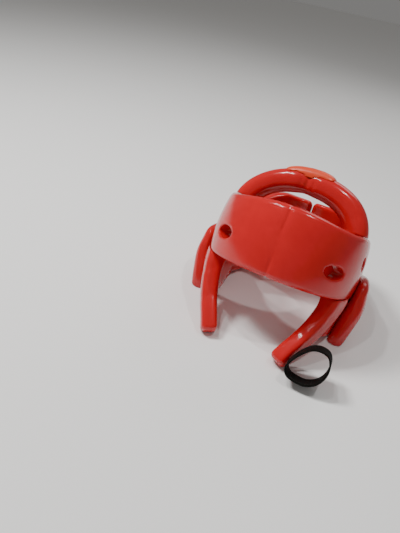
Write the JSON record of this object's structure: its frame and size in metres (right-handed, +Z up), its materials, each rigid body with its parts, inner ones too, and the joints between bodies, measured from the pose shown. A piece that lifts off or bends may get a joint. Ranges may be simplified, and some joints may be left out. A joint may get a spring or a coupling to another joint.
{
  "type": "taekwondo headgear",
  "caption": "Dipped foam head guard with a forehead band, crown arch and pad, ear guards, jaw arms, rear halves and a chin strap loop.",
  "frame": {"origin": "on the surface that the headgear rests on, under the middle of its bounding box", "axes": "+Z up, -Y the way the face looks, +X the wearer's left"},
  "size_m": [0.2418, 0.2824, 0.1881],
  "materials": {
    "foam_skin": "glossy dipped vinyl skin over soft foam, red",
    "pad_skin": "glossy dipped vinyl skin over soft foam, orange red",
    "webbing": "woven black webbing"
  },
  "bodies": {
    "root": {"forehead_band": "foam_skin", "crown_arch": "foam_skin", "back_wing_left": "foam_skin", "back_wing_right": "foam_skin", "cheek_guard_left": "foam_skin", "cheek_guard_right": "foam_skin", "ear_guard_left": "foam_skin", "ear_guard_right": "foam_skin", "crown_pad": "pad_skin", "chin_strap": "webbing", "back_strap": "webbing"}
  },
  "joints": []
}
